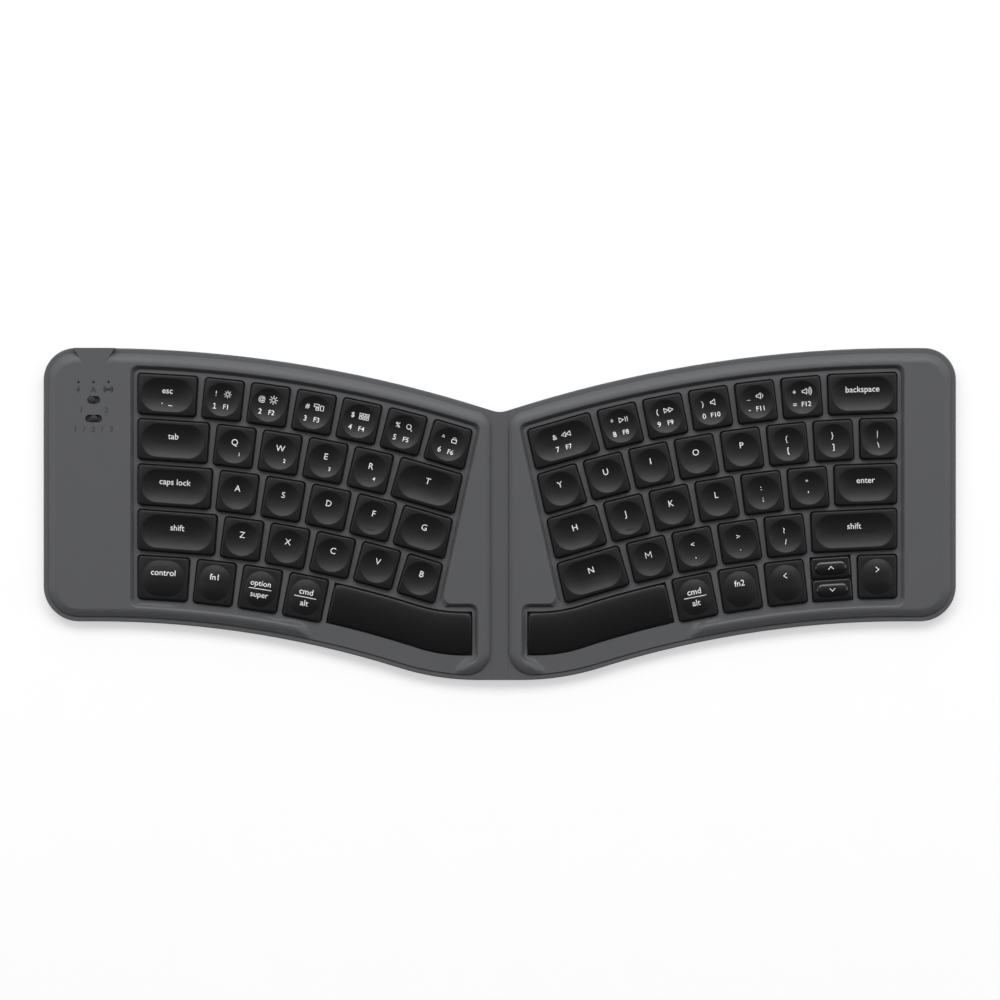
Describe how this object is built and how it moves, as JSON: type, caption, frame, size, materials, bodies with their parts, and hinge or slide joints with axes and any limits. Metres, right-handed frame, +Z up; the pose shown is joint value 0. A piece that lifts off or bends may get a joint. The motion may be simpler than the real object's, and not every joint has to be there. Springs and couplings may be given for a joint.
{
  "type": "ergonomic keyboard",
  "caption": "Slim folding ergonomic keyboard: two fanned key fields in rigid halves with a V notch between them, joined by a soft strip.",
  "frame": {"origin": "on the desk, under the middle of the outline, between the two halves", "axes": "+X to the typist's right along the key rows, +Y away from the typist, +Z up out of the keys"},
  "size_m": [0.3778, 0.1376, 0.0084],
  "materials": {
    "case": "fine matte grain",
    "keycap": "satin matte",
    "strip": "matte, soft",
    "steel": "stamped sheet",
    "dome_rubber": "silicone",
    "circuit_board": "solder mask",
    "plated_steel": "plated",
    "foil_wrap": "satin foil",
    "knob": "satin matte",
    "clear_plastic": "clear",
    "foot_rubber": "matte"
  },
  "bodies": {
    "left_half": {"top_case_left": "case", "bottom_case_left": "case", "key_plate_left": "steel", "membrane_left": "dome_rubber", "main_board": "circuit_board", "usb_port": "plated_steel", "battery": "foil_wrap", "light_pipe": "clear_plastic", "rubber_feet_left": "foot_rubber"},
    "strip": {"hinge_strip": "strip"},
    "right_half": {"top_case_right": "case", "bottom_case_right": "case", "key_plate_right": "steel", "membrane_right": "dome_rubber", "rubber_feet_right": "foot_rubber"},
    "os_slider": {"os_slider": "knob"},
    "link_slider": {"link_slider": "knob"},
    "key_a": {"key_a": "keycap"},
    "key_arrow_down": {"key_arrow_down": "keycap"},
    "key_arrow_left": {"key_arrow_left": "keycap"},
    "key_arrow_right": {"key_arrow_right": "keycap"},
    "key_arrow_up": {"key_arrow_up": "keycap"},
    "key_b": {"key_b": "keycap"},
    "key_backspace": {"key_backspace": "keycap"},
    "key_c": {"key_c": "keycap"},
    "key_caps_lock": {"key_caps_lock": "keycap"},
    "key_d": {"key_d": "keycap"},
    "key_e": {"key_e": "keycap"},
    "key_enter": {"key_enter": "keycap"},
    "key_f": {"key_f": "keycap"},
    "key_g": {"key_g": "keycap"},
    "key_h": {"key_h": "keycap"},
    "key_i": {"key_i": "keycap"},
    "key_j": {"key_j": "keycap"},
    "key_k": {"key_k": "keycap"},
    "key_l": {"key_l": "keycap"},
    "key_m": {"key_m": "keycap"},
    "key_n": {"key_n": "keycap"},
    "key_o": {"key_o": "keycap"},
    "key_p": {"key_p": "keycap"},
    "key_q": {"key_q": "keycap"},
    "key_r": {"key_r": "keycap"},
    "key_s": {"key_s": "keycap"},
    "key_shift_left": {"key_shift_left": "keycap"},
    "key_shift_right": {"key_shift_right": "keycap"},
    "key_space_left": {"key_space_left": "keycap"},
    "key_space_right": {"key_space_right": "keycap"},
    "key_t": {"key_t": "keycap"},
    "key_tab": {"key_tab": "keycap"},
    "key_u": {"key_u": "keycap"},
    "key_v": {"key_v": "keycap"},
    "key_w": {"key_w": "keycap"},
    "key_x": {"key_x": "keycap"},
    "key_y": {"key_y": "keycap"},
    "key_z": {"key_z": "keycap"},
    "keys_modifiers_left": {"keys_modifiers_left": "keycap"},
    "keys_modifiers_right": {"keys_modifiers_right": "keycap"},
    "keys_number_row_left": {"keys_number_row_left": "keycap"},
    "keys_number_row_right": {"keys_number_row_right": "keycap"},
    "keys_punctuation": {"keys_punctuation": "keycap"}
  },
  "joints": [
    {"name": "fold_left", "type": "hinge", "parent": "left_half", "child": "strip", "pos_m": [-0.00365, 0, 0.0051], "axis": [0, -1, 0], "range_deg": [0, 90]},
    {"name": "fold_right", "type": "hinge", "parent": "strip", "child": "right_half", "pos_m": [0.00365, 0, 0.0051], "axis": [0, -1, 0], "range_deg": [0, 90]},
    {"name": "os_slider_slide", "type": "slide", "parent": "left_half", "child": "os_slider", "axis": [1, 0, 0], "range_m": [0, 0.002]},
    {"name": "link_slider_slide", "type": "slide", "parent": "left_half", "child": "link_slider", "axis": [1, 0, 0], "range_m": [-0.0018, 0.0018]},
    {"name": "key_a_press", "type": "slide", "parent": "left_half", "child": "key_a", "axis": [0, 0, -1], "range_m": [0, 0.0017], "stiffness_N_per_m": 150, "springref_m": -0.002},
    {"name": "key_arrow_down_press", "type": "slide", "parent": "right_half", "child": "key_arrow_down", "axis": [0, 0, -1], "range_m": [0, 0.0017], "stiffness_N_per_m": 150, "springref_m": -0.002},
    {"name": "key_arrow_left_press", "type": "slide", "parent": "right_half", "child": "key_arrow_left", "axis": [0, 0, -1], "range_m": [0, 0.0017], "stiffness_N_per_m": 150, "springref_m": -0.002},
    {"name": "key_arrow_right_press", "type": "slide", "parent": "right_half", "child": "key_arrow_right", "axis": [0, 0, -1], "range_m": [0, 0.0017], "stiffness_N_per_m": 150, "springref_m": -0.002},
    {"name": "key_arrow_up_press", "type": "slide", "parent": "right_half", "child": "key_arrow_up", "axis": [0, 0, -1], "range_m": [0, 0.0017], "stiffness_N_per_m": 150, "springref_m": -0.002},
    {"name": "key_b_press", "type": "slide", "parent": "left_half", "child": "key_b", "axis": [0, 0, -1], "range_m": [0, 0.0017], "stiffness_N_per_m": 150, "springref_m": -0.002},
    {"name": "key_backspace_press", "type": "slide", "parent": "right_half", "child": "key_backspace", "axis": [0, 0, -1], "range_m": [0, 0.0017], "stiffness_N_per_m": 150, "springref_m": -0.002},
    {"name": "key_c_press", "type": "slide", "parent": "left_half", "child": "key_c", "axis": [0, 0, -1], "range_m": [0, 0.0017], "stiffness_N_per_m": 150, "springref_m": -0.002},
    {"name": "key_caps_lock_press", "type": "slide", "parent": "left_half", "child": "key_caps_lock", "axis": [0, 0, -1], "range_m": [0, 0.0017], "stiffness_N_per_m": 150, "springref_m": -0.002},
    {"name": "key_d_press", "type": "slide", "parent": "left_half", "child": "key_d", "axis": [0, 0, -1], "range_m": [0, 0.0017], "stiffness_N_per_m": 150, "springref_m": -0.002},
    {"name": "key_e_press", "type": "slide", "parent": "left_half", "child": "key_e", "axis": [0, 0, -1], "range_m": [0, 0.0017], "stiffness_N_per_m": 150, "springref_m": -0.002},
    {"name": "key_enter_press", "type": "slide", "parent": "right_half", "child": "key_enter", "axis": [0, 0, -1], "range_m": [0, 0.0017], "stiffness_N_per_m": 150, "springref_m": -0.002},
    {"name": "key_f_press", "type": "slide", "parent": "left_half", "child": "key_f", "axis": [0, 0, -1], "range_m": [0, 0.0017], "stiffness_N_per_m": 150, "springref_m": -0.002},
    {"name": "key_g_press", "type": "slide", "parent": "left_half", "child": "key_g", "axis": [0, 0, -1], "range_m": [0, 0.0017], "stiffness_N_per_m": 150, "springref_m": -0.002},
    {"name": "key_h_press", "type": "slide", "parent": "right_half", "child": "key_h", "axis": [0, 0, -1], "range_m": [0, 0.0017], "stiffness_N_per_m": 150, "springref_m": -0.002},
    {"name": "key_i_press", "type": "slide", "parent": "right_half", "child": "key_i", "axis": [0, 0, -1], "range_m": [0, 0.0017], "stiffness_N_per_m": 150, "springref_m": -0.002},
    {"name": "key_j_press", "type": "slide", "parent": "right_half", "child": "key_j", "axis": [0, 0, -1], "range_m": [0, 0.0017], "stiffness_N_per_m": 150, "springref_m": -0.002},
    {"name": "key_k_press", "type": "slide", "parent": "right_half", "child": "key_k", "axis": [0, 0, -1], "range_m": [0, 0.0017], "stiffness_N_per_m": 150, "springref_m": -0.002},
    {"name": "key_l_press", "type": "slide", "parent": "right_half", "child": "key_l", "axis": [0, 0, -1], "range_m": [0, 0.0017], "stiffness_N_per_m": 150, "springref_m": -0.002},
    {"name": "key_m_press", "type": "slide", "parent": "right_half", "child": "key_m", "axis": [0, 0, -1], "range_m": [0, 0.0017], "stiffness_N_per_m": 150, "springref_m": -0.002},
    {"name": "key_n_press", "type": "slide", "parent": "right_half", "child": "key_n", "axis": [0, 0, -1], "range_m": [0, 0.0017], "stiffness_N_per_m": 150, "springref_m": -0.002},
    {"name": "key_o_press", "type": "slide", "parent": "right_half", "child": "key_o", "axis": [0, 0, -1], "range_m": [0, 0.0017], "stiffness_N_per_m": 150, "springref_m": -0.002},
    {"name": "key_p_press", "type": "slide", "parent": "right_half", "child": "key_p", "axis": [0, 0, -1], "range_m": [0, 0.0017], "stiffness_N_per_m": 150, "springref_m": -0.002},
    {"name": "key_q_press", "type": "slide", "parent": "left_half", "child": "key_q", "axis": [0, 0, -1], "range_m": [0, 0.0017], "stiffness_N_per_m": 150, "springref_m": -0.002},
    {"name": "key_r_press", "type": "slide", "parent": "left_half", "child": "key_r", "axis": [0, 0, -1], "range_m": [0, 0.0017], "stiffness_N_per_m": 150, "springref_m": -0.002},
    {"name": "key_s_press", "type": "slide", "parent": "left_half", "child": "key_s", "axis": [0, 0, -1], "range_m": [0, 0.0017], "stiffness_N_per_m": 150, "springref_m": -0.002},
    {"name": "key_shift_left_press", "type": "slide", "parent": "left_half", "child": "key_shift_left", "axis": [0, 0, -1], "range_m": [0, 0.0017], "stiffness_N_per_m": 150, "springref_m": -0.002},
    {"name": "key_shift_right_press", "type": "slide", "parent": "right_half", "child": "key_shift_right", "axis": [0, 0, -1], "range_m": [0, 0.0017], "stiffness_N_per_m": 150, "springref_m": -0.002},
    {"name": "key_space_left_press", "type": "slide", "parent": "left_half", "child": "key_space_left", "axis": [0, 0, -1], "range_m": [0, 0.0017], "stiffness_N_per_m": 150, "springref_m": -0.002},
    {"name": "key_space_right_press", "type": "slide", "parent": "right_half", "child": "key_space_right", "axis": [0, 0, -1], "range_m": [0, 0.0017], "stiffness_N_per_m": 150, "springref_m": -0.002},
    {"name": "key_t_press", "type": "slide", "parent": "left_half", "child": "key_t", "axis": [0, 0, -1], "range_m": [0, 0.0017], "stiffness_N_per_m": 150, "springref_m": -0.002},
    {"name": "key_tab_press", "type": "slide", "parent": "left_half", "child": "key_tab", "axis": [0, 0, -1], "range_m": [0, 0.0017], "stiffness_N_per_m": 150, "springref_m": -0.002},
    {"name": "key_u_press", "type": "slide", "parent": "right_half", "child": "key_u", "axis": [0, 0, -1], "range_m": [0, 0.0017], "stiffness_N_per_m": 150, "springref_m": -0.002},
    {"name": "key_v_press", "type": "slide", "parent": "left_half", "child": "key_v", "axis": [0, 0, -1], "range_m": [0, 0.0017], "stiffness_N_per_m": 150, "springref_m": -0.002},
    {"name": "key_w_press", "type": "slide", "parent": "left_half", "child": "key_w", "axis": [0, 0, -1], "range_m": [0, 0.0017], "stiffness_N_per_m": 150, "springref_m": -0.002},
    {"name": "key_x_press", "type": "slide", "parent": "left_half", "child": "key_x", "axis": [0, 0, -1], "range_m": [0, 0.0017], "stiffness_N_per_m": 150, "springref_m": -0.002},
    {"name": "key_y_press", "type": "slide", "parent": "right_half", "child": "key_y", "axis": [0, 0, -1], "range_m": [0, 0.0017], "stiffness_N_per_m": 150, "springref_m": -0.002},
    {"name": "key_z_press", "type": "slide", "parent": "left_half", "child": "key_z", "axis": [0, 0, -1], "range_m": [0, 0.0017], "stiffness_N_per_m": 150, "springref_m": -0.002},
    {"name": "keys_modifiers_left_press", "type": "slide", "parent": "left_half", "child": "keys_modifiers_left", "axis": [0, 0, -1], "range_m": [0, 0.0017], "stiffness_N_per_m": 600, "springref_m": -0.002},
    {"name": "keys_modifiers_right_press", "type": "slide", "parent": "right_half", "child": "keys_modifiers_right", "axis": [0, 0, -1], "range_m": [0, 0.0017], "stiffness_N_per_m": 300, "springref_m": -0.002},
    {"name": "keys_number_row_left_press", "type": "slide", "parent": "left_half", "child": "keys_number_row_left", "axis": [0, 0, -1], "range_m": [0, 0.0017], "stiffness_N_per_m": 1050, "springref_m": -0.002},
    {"name": "keys_number_row_right_press", "type": "slide", "parent": "right_half", "child": "keys_number_row_right", "axis": [0, 0, -1], "range_m": [0, 0.0017], "stiffness_N_per_m": 900, "springref_m": -0.002},
    {"name": "keys_punctuation_press", "type": "slide", "parent": "right_half", "child": "keys_punctuation", "axis": [0, 0, -1], "range_m": [0, 0.0017], "stiffness_N_per_m": 1200, "springref_m": -0.002}
  ]
}
